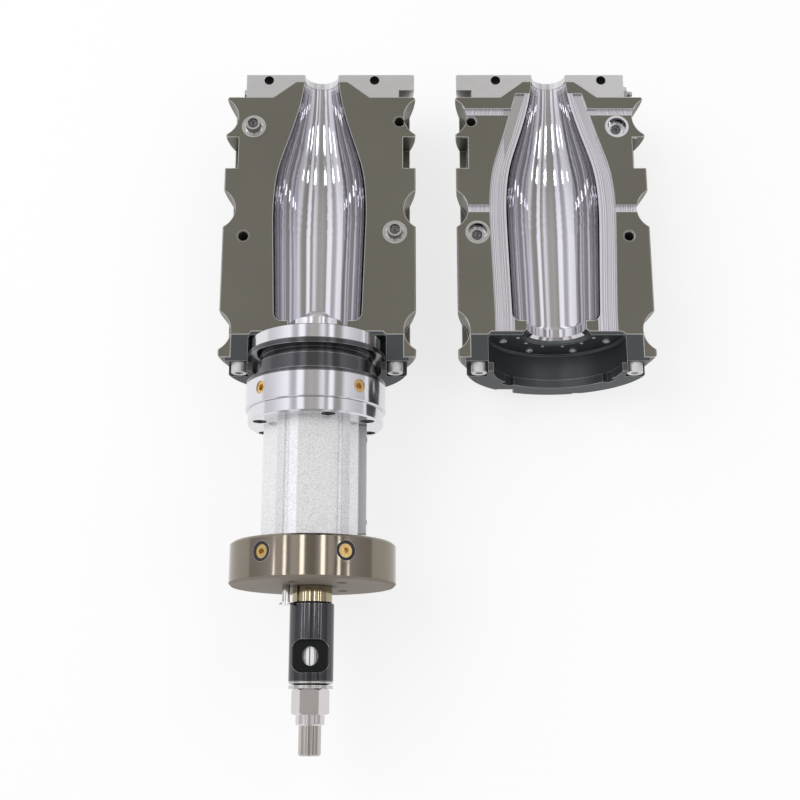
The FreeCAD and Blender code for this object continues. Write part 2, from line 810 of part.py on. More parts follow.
def base_insert():
    """Base form: a disc with a dome that pushes up the bottle's foot."""
    ball = (dome_radius ** 2 + dome_height ** 2) / (2 * dome_height)
    top = insert_top_station
    edge = ring_edge
    apex = V(0, top + dome_height, 0)
    half = dome_radius / 2
    middle = V(half, top + dome_height - ball + sqrt(ball ** 2 - half ** 2), 0)
    cap = Part.Arc(V(dome_radius, top, 0), middle, apex).toShape()
    rest = Part.makePolygon([apex, V(0, insert_end, 0), V(insert_radius - edge, insert_end, 0),
                             V(insert_radius, insert_end + edge, 0), V(insert_radius, top - edge, 0),
                             V(insert_radius - edge, top, 0), V(dome_radius, top, 0)])
    form = Part.Face(Part.Wire([cap] + rest.Edges)).revolve(V(0, 0, 0), V(0, 1, 0), 360)
    return form.cut(along(stem_radius, insert_end - 1, insert_end + stem_grip))


def base_stem():
    return along(stem_radius, piston_top - stem_grip, insert_end + stem_grip)


def piston():
    """Piston with two seal grooves, bored for the stem above and the rod below."""
    body = along(barrel_bore_radius - piston_clearance, piston_end, piston_top)
    for station in seal_stations():
        groove = tube(barrel_bore_radius, barrel_bore_radius - piston_clearance - piston_seal_depth,
                      station, station + piston_seal_width)
        body = body.cut(groove)
    body = body.cut(along(stem_radius, piston_top - stem_grip, piston_top + 1))
    return body.cut(along(tail_radius, piston_end - 1, piston_end + stem_grip))


def seal_stations():
    step = piston_height / (piston_seal_count + 1)
    return [piston_end + step * (k + 1) - piston_seal_width / 2 for k in range(piston_seal_count)]


def piston_seals():
    outer = barrel_bore_radius - running_clearance
    inner = barrel_bore_radius - piston_clearance - piston_seal_depth
    return Part.makeCompound([tube(outer, inner, station, station + piston_seal_width)
                              for station in seal_stations()])


def stop_tube():
    """Spacer on the rod that ends the down stroke against the tail flange."""
    return tube(stop_tube_radius, rod_radius, chamber_end + stroke_down, piston_end)


def piston_rod():
    """Lower rod: a spigot in the piston, the polished rod and the slimmer tail."""
    edge = tail_end_chamfer
    return turned([(0, tail_end), (tail_end_radius - edge, tail_end), (tail_end_radius, tail_end + edge),
                   (tail_end_radius, nut_end), (tail_radius, nut_end),
                   (tail_radius, sleeve_top), (rod_radius - edge, sleeve_top),
                   (rod_radius, sleeve_top + edge), (rod_radius, piston_end),
                   (tail_radius, piston_end), (tail_radius, piston_end + stem_grip),
                   (0, piston_end + stem_grip)])


def obround(width, height, x, station, low, high):
    """Upright post with round ends along Y, between two heights."""
    radius = width / 2
    straight = height / 2 - radius
    post = block(x - radius, x + radius, station - straight, station + straight, low, high)
    for end in (-straight, straight):
        post = post.fuse(Part.makeCylinder(radius, high - low, V(x, station + end, low), V(0, 0, 1)))
    return post


def tail_sleeve():
    """Black sleeve on the tail, with a milled window that shows the rod inside."""
    edge = ring_edge
    bore = tail_radius + seat_clearance
    sleeve = turned([(bore, sleeve_end), (sleeve_radius - edge, sleeve_end),
                     (sleeve_radius, sleeve_end + edge), (sleeve_radius, sleeve_top - edge),
                     (sleeve_radius - edge, sleeve_top), (bore, sleeve_top)])
    floor = sqrt(sleeve_radius ** 2 - window_half_width ** 2)
    middle = sleeve_top - window_start - window_height / 2
    corner = window_height * 0.42
    pocket = block(-sleeve_radius - 1, sleeve_radius + 1, middle - window_height / 2,
                   middle + window_height / 2, floor, sleeve_radius + 1)
    upright = [edge for edge in pocket.Edges if edge.BoundBox.ZLength > 1]
    pocket = pocket.makeFillet(corner, upright)
    sleeve = sleeve.cut(pocket)
    return sleeve.cut(obround_hole(middle, floor))


def obround_hole(middle, floor):
    """Hole from the window's floor down to the bore."""
    return obround(window_hole_width, window_hole_height, 0.0, middle, 0.0, floor + 1)


def spring_washer():
    """Coned washer: its rim bears on the sleeve and its inner edge on the flat washer."""
    thickness = spring_washer_rise * 0.5
    bore = tail_radius + 3 * seat_clearance
    return turned([(bore, flat_washer_top), (bore + 2, flat_washer_top), (washer_radius, sleeve_end - thickness),
                   (washer_radius, sleeve_end), (washer_radius - 2, sleeve_end),
                   (bore, flat_washer_top + thickness)])


def flat_washer():
    return tube(washer_radius, tail_radius + 2 * seat_clearance, nut_top, flat_washer_top)


def lock_nut():
    """Hexagon nut with a round collar, its corners turned off at both ends."""
    hexagon = prism(nut_across_flats, nut_height, V(0, nut_top, 0), V(0, -1, 0))
    corner = nut_across_flats / sqrt(3.0)
    bevel = corner - nut_across_flats / 2
    low = nut_top - nut_height
    envelope = turned([(0, low), (nut_across_flats / 2, low), (corner, low + bevel * 0.6),
                       (corner, nut_top - bevel * 0.6), (nut_across_flats / 2, nut_top), (0, nut_top)])
    collar = turned([(0, nut_end), (nut_collar_radius - 1, nut_end), (nut_collar_radius, nut_end + 1),
                     (nut_collar_radius, low), (0, low)])
    return hexagon.common(envelope).fuse(collar).cut(along(tail_radius, nut_end - 1, nut_top + 1))


left = -half_spacing
right = half_spacing

save("left_mould_body", mould_body(-1, False), left)
save("left_neck_plate", neck_plate(-1), left)
save("left_plate_plug", plate_plug(-1), left)
save("left_base_ring", base_ring(), left)
save("left_base_ring_screws", base_ring_screws(), left)
save("guide_pins", guide_pins(-1), left)

save("base_head", base_head(), left)
save("locking_collar", locking_collar(), left)
save("cylinder_head", cylinder_head(), left)
save("head_plugs", head_plugs(), left)
save("stem_bush", stem_bush(), left)
save("stem_seal", stem_seal(), left)
save("cylinder_cap", cylinder_cap(), left)
save("cylinder_barrel", cylinder_barrel(), left)
save("sensor_rail", sensor_rail(), left)
save("tail_flange", tail_flange(), left)
save("flange_port_seals", flange_port_seals(), left)
save("flange_port_plugs", flange_port_plugs(), left)
save("rod_bush", rod_bush(), left)
save("rod_wiper", rod_wiper(), left)
save("stop_pin", stop_pin(), left)

save("base_insert", base_insert(), left)
save("base_stem", base_stem(), left)
save("piston", piston(), left)
save("piston_seals", piston_seals(), left)
save("stop_tube", stop_tube(), left)
save("piston_rod", piston_rod(), left)
save("tail_sleeve", tail_sleeve(), left)
save("spring_washer", spring_washer(), left)
save("flat_washer", flat_washer(), left)
save("lock_nut", lock_nut(), left)

save("right_mould_body", mould_body(1, True), right)
save("right_neck_plate", neck_plate(1), right)
save("right_hose_nipple", hose_nipple(1), right)
save("right_base_ring", base_ring(), right)
save("right_base_ring_screws", base_ring_screws(), right)
save("guide_bushes", guide_bushes(1), right)
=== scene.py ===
import math

import bmesh
import bpy
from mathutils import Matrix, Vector


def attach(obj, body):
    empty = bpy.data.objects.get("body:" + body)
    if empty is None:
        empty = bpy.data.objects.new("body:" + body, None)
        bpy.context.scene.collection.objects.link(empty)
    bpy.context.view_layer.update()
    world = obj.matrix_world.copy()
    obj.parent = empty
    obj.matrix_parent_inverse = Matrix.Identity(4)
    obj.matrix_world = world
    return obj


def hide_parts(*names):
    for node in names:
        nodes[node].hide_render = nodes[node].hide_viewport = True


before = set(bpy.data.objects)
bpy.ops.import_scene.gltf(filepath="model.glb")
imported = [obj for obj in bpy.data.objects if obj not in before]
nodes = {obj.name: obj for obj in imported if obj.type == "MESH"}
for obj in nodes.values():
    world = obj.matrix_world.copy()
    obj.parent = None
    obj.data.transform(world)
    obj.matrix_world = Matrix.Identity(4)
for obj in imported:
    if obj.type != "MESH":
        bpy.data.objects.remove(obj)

for spare in ("Cube", "Light", "Camera"):
    if spare in bpy.data.objects:
        bpy.data.objects.remove(bpy.data.objects[spare])
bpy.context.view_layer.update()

# Mould halves. Two half blocks of hard-anodised aluminium, milled dark olive grey, with painted highlights
# along their edges.
# The bottle cavity and the foot bore are polished to a mirror. The right half's parting face has
# a ground land round the cavity and a milled relief channel beside it.

# Lengths in metres: foot end of the halves, parting faces and bottle axes
foot_end = 0.02685
parting_height = 0.078
left_axis = -0.0945
right_axis = 0.0945
# Depths, distances and stations in mm, as the finishes use them
cavity_reach = 38.0
mirror_top = -0.12
land_inner, land_outer = -2.0, 5.7
land_foot, land_throat = 21.0, 229.6
channel_floor, channel_top = -2.7, -0.5
channel_inner, channel_outer = 15.0, 72.0


def station(millimetres):
    """Place in metres along the bottle, from millimetres past the foot end of the halves."""
    return foot_end + millimetres / 1000.0


def new_finish(name):
    """Empty material with its shader and output, ready for its own nodes."""
    material = bpy.data.materials.new(name)
    material.use_nodes = True
    return material, material.node_tree, material.node_tree.nodes["Principled BSDF"]


def compute(tree, operation, first, second=None, third=None):
    """Math node fed by sockets or plain numbers; gives its output socket."""
    node = tree.nodes.new("ShaderNodeMath")
    node.operation = operation
    for slot, value in zip(node.inputs, (first, second, third)):
        if value is None:
            continue
        if isinstance(value, (int, float)):
            slot.default_value = value
        else:
            tree.links.new(value, slot)
    return node.outputs[0]


def between(tree, value, low, high, soft):
    """1 where the value lies between two limits, falling to 0 over a soft edge."""
    rise = tree.nodes.new("ShaderNodeMapRange")
    fall = tree.nodes.new("ShaderNodeMapRange")
    for node, start, end in ((rise, low - soft, low + soft), (fall, high + soft, high - soft)):
        tree.links.new(value, node.inputs["Value"])
        node.inputs["From Min"].default_value = start
        node.inputs["From Max"].default_value = end
    return compute(tree, "MULTIPLY", rise.outputs[0], fall.outputs[0])


def blend_colour(tree, mask, first, second):
    """Colour that goes from the first to the second as the mask goes from 0 to 1."""
    node = tree.nodes.new("ShaderNodeMix")
    node.data_type = "RGBA"
    tree.links.new(mask, node.inputs["Factor"])
    for slot, value in ((node.inputs["A"], first), (node.inputs["B"], second)):
        if isinstance(value, tuple):
            slot.default_value = (*value, 1.0)
        else:
            tree.links.new(value, slot)
    return node.outputs["Result"]


def blend_number(tree, mask, first, second):
    """Number that goes from the first to the second as the mask goes from 0 to 1."""
    node = tree.nodes.new("ShaderNodeMix")
    tree.links.new(mask, node.inputs["Factor"])
    for slot, value in ((node.inputs["A"], first), (node.inputs["B"], second)):
        if isinstance(value, (int, float)):
            slot.default_value = value
        else:
            tree.links.new(value, slot)
    return node.outputs["Result"]


def group_with(name, inputs, outputs):
    """Shader node group with named number sockets."""
    group = bpy.data.node_groups.new(name, "ShaderNodeTree")
    for label, value in inputs:
        socket = group.interface.new_socket(name=label, in_out="INPUT", socket_type="NodeSocketFloat")
        socket.default_value = value
    for label in outputs:
        group.interface.new_socket(name=label, in_out="OUTPUT", socket_type="NodeSocketFloat")
    start = group.nodes.new("NodeGroupInput")
    end = group.nodes.new("NodeGroupOutput")
    return group, start, end


def place_group(tree, group, **values):
    """Puts a group into a material and sets its inputs."""
    node = tree.nodes.new("ShaderNodeGroup")
    node.node_tree = group
    for label, value in values.items():
        node.inputs[label.replace("_", " ")].default_value = value
    return node


def in_millimetres(tree, value, origin):
    """Length in mm from an origin in metres."""
    return compute(tree, "MULTIPLY", compute(tree, "SUBTRACT", value, origin), 1000.0)


# Where a point lies about the axis of a half: distance, sideways offset, height and station in mm
round_place, start, end = group_with("place about the axis", [("Axis", 0.0)],
                                     ["Radius", "Sideways", "Height", "Station"])
position = round_place.nodes.new("ShaderNodeTexCoord")
split = round_place.nodes.new("ShaderNodeSeparateXYZ")
round_place.links.new(position.outputs["Object"], split.inputs[0])
sideways = in_millimetres(round_place, split.outputs["X"], start.outputs["Axis"])
height = in_millimetres(round_place, split.outputs["Z"], parting_height)
along = in_millimetres(round_place, split.outputs["Y"], foot_end)
squares = [compute(round_place, "MULTIPLY", value, value) for value in (sideways, height)]
total = compute(round_place, "ADD", squares[0], squares[1])
round_place.links.new(compute(round_place, "SQRT", total), end.inputs["Radius"])
round_place.links.new(sideways, end.inputs["Sideways"])
round_place.links.new(height, end.inputs["Height"])
round_place.links.new(along, end.inputs["Station"])

# Mask of a painted line where two machined faces meet, with its width in metres. Most finishes paint a
# highlight along it; the polished rings and most of the bronze disc paint shade there.
edge_light, start, end = group_with("machined edge", [("Width", 0.0005)], ["Edge"])
rounded = edge_light.nodes.new("ShaderNodeBevel")
rounded.samples = 6
edge_light.links.new(start.outputs["Width"], rounded.inputs["Radius"])
true_normal = edge_light.nodes.new("ShaderNodeNewGeometry")
agree = edge_light.nodes.new("ShaderNodeVectorMath")
agree.operation = "DOT_PRODUCT"
edge_light.links.new(rounded.outputs[0], agree.inputs[0])
edge_light.links.new(true_normal.outputs["Normal"], agree.inputs[1])
strength = edge_light.nodes.new("ShaderNodeMapRange")
strength.inputs["From Min"].default_value = 0.99
strength.inputs["From Max"].default_value = 0.88
edge_light.links.new(agree.outputs["Value"], strength.inputs["Value"])
edge_light.links.new(strength.outputs[0], end.inputs["Edge"])

# Uneven tone of a metal surface: broad clouds and fine grain, both from 0 to 1
uneven, start, end = group_with("uneven tone", [("Cloud Scale", 12.0), ("Grain Scale", 900.0)],
                                ["Cloud", "Grain"])
position = uneven.nodes.new("ShaderNodeTexCoord")
for label, detail in (("Cloud", 3.0), ("Grain", 2.0)):
    noise = uneven.nodes.new("ShaderNodeTexNoise")
    noise.inputs["Detail"].default_value = detail
    uneven.links.new(position.outputs["Object"], noise.inputs["Vector"])
    uneven.links.new(start.outputs[label + " Scale"], noise.inputs["Scale"])
    uneven.links.new(noise.outputs["Fac"], end.inputs[label])

# Long fine strokes of a brush or a grinding wheel; each input is how closely they lie along that axis
strokes, start, end = group_with("strokes", [("Across X", 1.0), ("Across Y", 1.0), ("Across Z", 1.0)],
                                 ["Stroke"])
position = strokes.nodes.new("ShaderNodeTexCoord")
stretch = strokes.nodes.new("ShaderNodeCombineXYZ")
for axis in "XYZ":
    strokes.links.new(start.outputs["Across " + axis], stretch.inputs[axis])
scaled = strokes.nodes.new("ShaderNodeVectorMath")
scaled.operation = "MULTIPLY"
strokes.links.new(position.outputs["Object"], scaled.inputs[0])
strokes.links.new(stretch.outputs[0], scaled.inputs[1])
noise = strokes.nodes.new("ShaderNodeTexNoise")
noise.inputs["Scale"].default_value = 1.0
noise.inputs["Detail"].default_value = 3.0
strokes.links.new(scaled.outputs[0], noise.inputs["Vector"])
strokes.links.new(noise.outputs["Fac"], end.inputs["Stroke"])


def add_bump(tree, shader, height, strength, distance):
    """Fine relief from a height between 0 and 1."""
    bump = tree.nodes.new("ShaderNodeBump")
    bump.inputs["Strength"].default_value = strength
    bump.inputs["Distance"].default_value = distance
    tree.links.new(height, bump.inputs["Height"])
    tree.links.new(bump.outputs[0], shader.inputs["Normal"])


def cavity_profile(tree, along):
    """Radius of the bottle in mm at a station, as the mould is cut."""
    curve = tree.nodes.new("ShaderNodeFloatCurve")
    line = curve.mapping.curves[0]
    longest = 250.0
    widest = 50.0
    places = [(21.0, 35.0), (37.2, 35.0), (112.0, 37.5), (125.1, 37.7), (138.2, 37.2), (151.3, 36.0),
              (164.2, 33.6), (176.8, 30.0), (189.3, 25.9), (201.9, 22.0), (214.5, 18.6), (227.3, 15.9),
              (240.4, 14.2)]
    while len(line.points) < len(places):
        line.points.new(0.5, 0.5)
    for point, (where, radius) in zip(line.points, places):
        point.location = (where / longest, radius / widest)
    curve.mapping.update()
    tree.links.new(compute(tree, "DIVIDE", along, longest), curve.inputs["Value"])
    return compute(tree, "MULTIPLY", curve.outputs[0], widest)


def right_parting_face(tree, place, lined):
    """Adds the ground land and the relief channel to a colour; gives that colour and the land's mask."""
    offset = compute(tree, "SUBTRACT", compute(tree, "ABSOLUTE", place.outputs["Sideways"]),
                     cavity_profile(tree, place.outputs["Station"]))
    land = compute(tree, "MULTIPLY", between(tree, offset, land_inner, land_outer, 0.05),
                   between(tree, place.outputs["Station"], land_foot, land_throat, 0.05))
    land = compute(tree, "MULTIPLY", land, between(tree, place.outputs["Height"], channel_floor, 5.0, 0.1))
    sunk = between(tree, place.outputs["Height"], channel_floor, channel_top, 0.1)
    outside = between(tree, place.outputs["Radius"], channel_inner, channel_outer, 0.1)
    milled = compute(tree, "MULTIPLY", sunk, outside)
    contour = tree.nodes.new("ShaderNodeTexNoise")
    contour.noise_dimensions = "1D"
    contour.inputs["Scale"].default_value = 1.3
    contour.inputs["Detail"].default_value = 3.0
    tree.links.new(offset, contour.inputs["W"])
    cutter_marks = between(tree, contour.outputs["Fac"], -1.0, 0.5, 0.08)
    ground = blend_colour(tree, cutter_marks, (0.84, 0.83, 0.87), (0.46, 0.45, 0.50))
    return blend_colour(tree, compute(tree, "MAXIMUM", land, milled), lined, ground), land


def half_finish(name, axis, with_channel):
    """Finish of one half block: anodised outside, mirror inside, painted highlights on the edges, and land.
    """
    material, tree, shader = new_finish(name)
    place = place_group(tree, round_place, Axis=axis)
    tone = place_group(tree, uneven, Cloud_Scale=9.0, Grain_Scale=1400.0)
    edge = place_group(tree, edge_light, Width=0.0011)
    mill = place_group(tree, strokes, Across_X=2600.0, Across_Y=60.0, Across_Z=60.0)
    height = place.outputs["Height"]
    mirror = compute(tree, "MULTIPLY", between(tree, place.outputs["Radius"], -5.0, cavity_reach, 0.02),
                     between(tree, height, -80.0, mirror_top, 0.02))
    anodised = blend_colour(tree, tone.outputs["Cloud"], (0.146, 0.139, 0.116), (0.194, 0.186, 0.155))
    # Painted highlight: a pale line along every edge of the half block.
    lined = blend_colour(tree, edge.outputs["Edge"], anodised, (0.80, 0.79, 0.76))
    rough = blend_number(tree, tone.outputs["Grain"], 0.34, 0.46)
    if with_channel:
        lined, land = right_parting_face(tree, place, lined)
        rough = blend_number(tree, land, rough, 0.24)
    tree.links.new(blend_colour(tree, mirror, lined, (0.63, 0.62, 0.655)), shader.inputs["Base Color"])
    rim = compute(tree, "MULTIPLY", mirror, between(tree, height, -0.9, 1.0, 0.15))
    polish = blend_number(tree, mirror, rough, 0.07)
    tree.links.new(blend_number(tree, rim, polish, 0.5), shader.inputs["Roughness"])
    dulled = compute(tree, "MULTIPLY", rim, 0.7)
    bare = compute(tree, "SUBTRACT", blend_number(tree, mirror, 0.75, 1.0), dulled)
    tree.links.new(bare, shader.inputs["Metallic"])
    milled_lines = compute(tree, "MULTIPLY", mill.outputs["Stroke"], compute(tree, "SUBTRACT", 1.0, mirror))
    add_bump(tree, shader, milled_lines, 0.10, 0.0002)
    return material


def dress(names, material):
    """Gives CAD nodes a finish."""
    for name in names:
        obj = nodes[name]
        obj.data.materials.clear()
        obj.data.materials.append(material)


dress(["left_mould_body"], half_finish("olive anodised half, left", left_axis, False))
dress(["right_mould_body"], half_finish("olive anodised half, right", right_axis, True))

# Guides. Hardened and ground steel: two tapered pins in the left half and two bushes with a tapered
# mouth in the right half, each held by a socket screw sunk into it.


def plain_metal(name, colour, roughness, metallic=1.0, tone=0.12, edge=0.0004,
                edge_colour=(0.9, 0.9, 0.9)):
    """Even metal finish with slight clouding, fine grain and painted highlights along the edges."""
    material, tree, shader = new_finish(name)
    clouds = place_group(tree, uneven, Cloud_Scale=30.0, Grain_Scale=900.0)
    dark = tuple(value * (1.0 - tone) for value in colour)
    light = tuple(min(1.0, value * (1.0 + tone)) for value in colour)
    base = blend_colour(tree, clouds.outputs["Cloud"], dark, light)
    painted_edge = place_group(tree, edge_light, Width=edge)
    # Painted highlight along the edges, in the edge colour.
    tree.links.new(blend_colour(tree, painted_edge.outputs["Edge"], base, edge_colour), shader.inputs["Base Color"])
    rough = blend_number(tree, clouds.outputs["Grain"], roughness * 0.8, roughness * 1.2)
    tree.links.new(rough, shader.inputs["Roughness"])
    shader.inputs["Metallic"].default_value = metallic
    add_bump(tree, shader, clouds.outputs["Grain"], 0.05, 0.0001)
    return material


guide_steel = plain_metal("ground guide steel", (0.70, 0.70, 0.71), 0.09)
screw_steel = plain_metal("zinc-plated screw", (0.66, 0.66, 0.66), 0.42, metallic=0.7, edge=0.0003)
guide_screw_steel = plain_metal("guide screw steel", (0.15, 0.15, 0.155), 0.16, edge=0.0003)
screw_black = plain_metal("black oxide screw", (0.05, 0.05, 0.055), 0.34, edge=0.0002,
                          edge_colour=(0.3, 0.3, 0.3))
dress(["guide_pins", "guide_bushes"], guide_steel)


def mesh_object(name, builder):
    """Turns a bmesh into an object of the scene, with its faces outwards."""
    bmesh.ops.recalc_face_normals(builder, faces=builder.faces)
    mesh = bpy.data.meshes.new(name)
    builder.to_mesh(mesh)
    builder.free()
    piece = bpy.data.objects.new(name, mesh)
    bpy.context.scene.collection.objects.link(piece)
    return piece


def smooth_between_edges(mesh, degrees):
    """Smooth shading, with an edge wherever faces meet at a larger angle."""
    for face in mesh.polygons:
        face.use_smooth = True
    mesh.set_sharp_from_angle(angle=math.radians(degrees))


def socket_head(builder, centre, outward, radius, height, socket, depth, ridges):
    """Cap screw head: knurled side, chamfered top face and a hexagon socket. The centre is its top."""
    count = ridges * 2
    turn = Vector((0, 0, 1)).rotation_difference(Vector(outward)).to_matrix()
    chamfer = radius * 0.12
    groove = 0.965
    rings = []

    def ring(size, level, shape="round"):
        points = []
        for index in range(count):
            angle = 2 * math.pi * index / count
            reach = size
            if shape == "hexagon":
                reach = size / math.cos((angle + math.pi / 6) % (math.pi / 3) - math.pi / 6)
            if shape == "knurled" and index % 2:
                reach = size * groove
            spot = Vector((reach * math.cos(angle), reach * math.sin(angle), level))
            points.append(builder.verts.new(Vector(centre) + turn @ spot))
        rings.append(points)

    floor = builder.verts.new(Vector(centre) + turn @ Vector((0, 0, -depth - socket * 0.2)))
    ring(socket, -depth, "hexagon")
    ring(socket, -chamfer * 0.5, "hexagon")
    ring(socket * 1.22, 0.0)
    ring(radius - chamfer, 0.0)
    ring(radius * 0.985, -chamfer * 0.6)
    ring(radius, -chamfer * 1.6, "knurled")
    ring(radius, -height, "knurled")
    for inner, outer in zip(rings, rings[1:]):
        for index in range(count):
            after = (index + 1) % count
            builder.faces.new((inner[index], inner[after], outer[after], outer[index]))
    for index in range(count):
        builder.faces.new((floor, rings[0][(index + 1) % count], rings[0][index]))
    builder.faces.new(rings[-1])


def socket_screws(name, places, outward, size, material, body, ridges=24):
    """Group of like cap screws: the middles of their top faces, and radius and height of a head in mm."""
    radius, height = (length / 1000.0 for length in size)
    socket = radius * 0.46
    depth = height * 0.5
    builder = bmesh.new()
    for place in places:
        socket_head(builder, place, outward, radius, height, socket, depth, ridges)
    screws = mesh_object(name, builder)
    smooth_between_edges(screws.data, 32.0)
    screws.data.materials.append(material)
    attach(screws, body)
    return screws


# Screws of the guides in mm: offset and station, level from the parting faces, radius and height
guide_places = [(55.5, 199.3), (-61.1, 105.4)]
pin_level, bush_level = 5.4, -6.6
guide_screw = (4.1, 4.2)
pin_screws = [(left_axis - across / 1000.0, station(where), parting_height + pin_level / 1000.0)
              for across, where in guide_places]
bush_screws = [(right_axis + across / 1000.0, station(where), parting_height + bush_level / 1000.0)
               for across, where in guide_places]
up = (0, 0, 1)
socket_screws("guide_pin_screw_heads", pin_screws, up, guide_screw, guide_screw_steel, "fixed_half")
socket_screws("guide_bush_screw_heads", bush_screws, up, guide_screw, guide_screw_steel, "right_half")

# Neck plates. Half plates of stainless steel over the neck boss, ground flat and brushed across, each
# held by two black cap screws in its end face. A small plug sits in the left plate's outer flat, and
# a hose nipple in the right one's.

# Dowel holes in the parting face of each plate, in mm: offset from the axis, station and half width
dowel_offset = 44.0
dowel_station = 241.6
dowel_reach = 4.2
# Screws in mm: circle, station, and radius and height of a head
plate_circle, plate_top, plate_screw = 55.0, 245.6, (4.9, 5.4)


def plate_finish(name, axis):
    """Ground plate brushed along X, with painted highlights on its edges; the two dowel holes get painted
    shade, dark inside.
    """
    material, tree, shader = new_finish(name)
    place = place_group(tree, round_place, Axis=axis)
    across = place_group(tree, strokes, Across_X=90.0, Across_Y=2600.0, Across_Z=90.0)
    painted_edge = place_group(tree, edge_light, Width=0.0005)
    brushed = blend_colour(tree, across.outputs["Stroke"], (0.636, 0.636, 0.641), (0.799, 0.799, 0.805))
    # Painted highlight along the plate's edges.
    lined = blend_colour(tree, painted_edge.outputs["Edge"], brushed, (0.92, 0.92, 0.92))
    # Painted shade: the insides of the two dowel holes are painted dark.
    beside = between(tree, compute(tree, "ABSOLUTE", place.outputs["Sideways"]),
                     dowel_offset - dowel_reach, dowel_offset + dowel_reach, 0.05)
    along = between(tree, place.outputs["Station"],
                    dowel_station - dowel_reach, dowel_station + dowel_reach, 0.05)
    below = between(tree, place.outputs["Height"], -10.0, -0.4, 0.1)
    holes = compute(tree, "MULTIPLY", compute(tree, "MULTIPLY", beside, along), below)
    tree.links.new(blend_colour(tree, holes, lined, (0.13, 0.13, 0.135)), shader.inputs["Base Color"])
    tree.links.new(blend_number(tree, across.outputs["Stroke"], 0.24, 0.416), shader.inputs["Roughness"])
    shader.inputs["Metallic"].default_value = 1.0
    add_bump(tree, shader, across.outputs["Stroke"], 0.12, 0.0001)
    return material


dress(["left_neck_plate"], plate_finish("brushed neck plate, left", left_axis))
dress(["right_neck_plate"], plate_finish("brushed neck plate, right", right_axis))
dress(["left_plate_plug"], plain_metal("steel side plug", (0.6, 0.6, 0.6), 0.3))
dress(["right_hose_nipple"], plain_metal("hose nipple", (0.55, 0.55, 0.55), 0.3))


def on_circle(axis, circle, turns, where):
    """Places on a circle of a radius in mm about a half's axis. A turn of 0 points up, 90 to the right."""
    radius = circle / 1000.0
    angles = [math.radians(turn) for turn in turns]
    return [(axis + radius * math.sin(angle), station(where), parting_height + radius * math.cos(angle))
            for angle in angles]


to_neck = (0, 1, 0)
halves = (("left", left_axis, "fixed_half"), ("right", right_axis, "right_half"))
for side, axis, body in halves:
    places = on_circle(axis, plate_circle, (138.0, 222.0), plate_top)
    socket_screws(side + "_neck_plate_screw_heads", places, to_neck, plate_screw, screw_black, body)

# Base rings. Blackened steel half rings in the foot recess, with a turned end wall and a locking lip.
# Each is held by two large zinc-plated cap screws under its ears; small screws and vents sit in the
# end wall.

# Ear screws in mm: offset, station, depth, and radius and height of a head
ear_offset, ear_station, ear_depth, ear_screw = 61.4, -11.25, 7.6, (6.3, 8.0)
# Screws and vents of the end wall in mm: circle, station, and radius and height
wall_circle, wall_station, wall_screw = 44.0, 17.0, (3.1, 1.2)
vent_circle, vent_station, vent_size = 31.0, 17.9, (1.5, 0.3)
# Station in mm below which the rings are left as sawn
sawn_end = -10.9


def turned_metal(name, colour, roughness, axis, metallic=1.0, lines=2.2, relief=0.10, edge=0.0004,
                 edge_colour=(0.9, 0.9, 0.9), dull_end=None):
    """Metal turned on a lathe: fine lines round the axis; faces beyond the dull end are left as sawn."""
    material, tree, shader = new_finish(name)
    place = place_group(tree, round_place, Axis=axis)
    cut = tree.nodes.new("ShaderNodeTexNoise")
    cut.noise_dimensions = "1D"
    cut.inputs["Scale"].default_value = lines
    cut.inputs["Detail"].default_value = 4.0
    tree.links.new(compute(tree, "ADD", place.outputs["Radius"], place.outputs["Station"]), cut.inputs["W"])
    clouds = place_group(tree, uneven, Cloud_Scale=25.0, Grain_Scale=1200.0)
    painted_edge = place_group(tree, edge_light, Width=edge)
    tone = 0.06
    dark = tuple(value * (1.0 - tone) for value in colour)
    light = tuple(min(1.0, value * (1.0 + tone)) for value in colour)
    base = blend_colour(tree, cut.outputs["Fac"], dark, light)
    # Painted edge line in the edge colour: a highlight on the blackened rings and the collar, shade on the
    # polished ring.
    tree.links.new(blend_colour(tree, painted_edge.outputs["Edge"], base, edge_colour), shader.inputs["Base Color"])
    rough = blend_number(tree, cut.outputs["Fac"], roughness * 0.7, roughness * 1.3)
    shader.inputs["Metallic"].default_value = metallic
    if dull_end is not None:
        dull = between(tree, place.outputs["Station"], dull_end - 40.0, dull_end, 0.1)
        rough = blend_number(tree, dull, rough, 0.62)
        tree.links.new(blend_number(tree, dull, metallic, 0.1), shader.inputs["Metallic"])
    tree.links.new(rough, shader.inputs["Roughness"])
    add_bump(tree, shader, cut.outputs["Fac"], relief, 0.0001)
    return material


to_foot = (0, -1, 0)
for side, axis, body in halves:
    # Pale edge colour: painted highlights along the ring's edges.
    blackened = turned_metal(side + " blackened ring", (0.072, 0.079, 0.083), 0.34, axis, 0.6,
                             edge=0.0006, edge_colour=(0.50, 0.51, 0.51), dull_end=sawn_end)
    dress([side + "_base_ring"], blackened)
    dress([side + "_base_ring_screws"], screw_steel)
    ears = [(axis + offset / 1000.0, station(ear_station), parting_height - ear_depth / 1000.0)
            for offset in (-ear_offset, ear_offset)]
    large = socket_screws(side + "_base_ring_screw_heads", ears, to_foot, ear_screw, screw_steel, body, 36)
    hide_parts(side + "_base_ring_screws")
    small = on_circle(axis, wall_circle, (250.0, 204.0, 156.0, 110.0), wall_station)
    socket_screws(side + "_end_wall_screw_heads", small, to_foot, wall_screw, screw_steel, body)
    vents = on_circle(axis, vent_circle, (256.0, 226.0, 195.0, 165.0, 134.0, 104.0), vent_station)
    socket_screws(side + "_end_wall_vents", vents, to_foot, vent_size, screw_steel, body, 12)

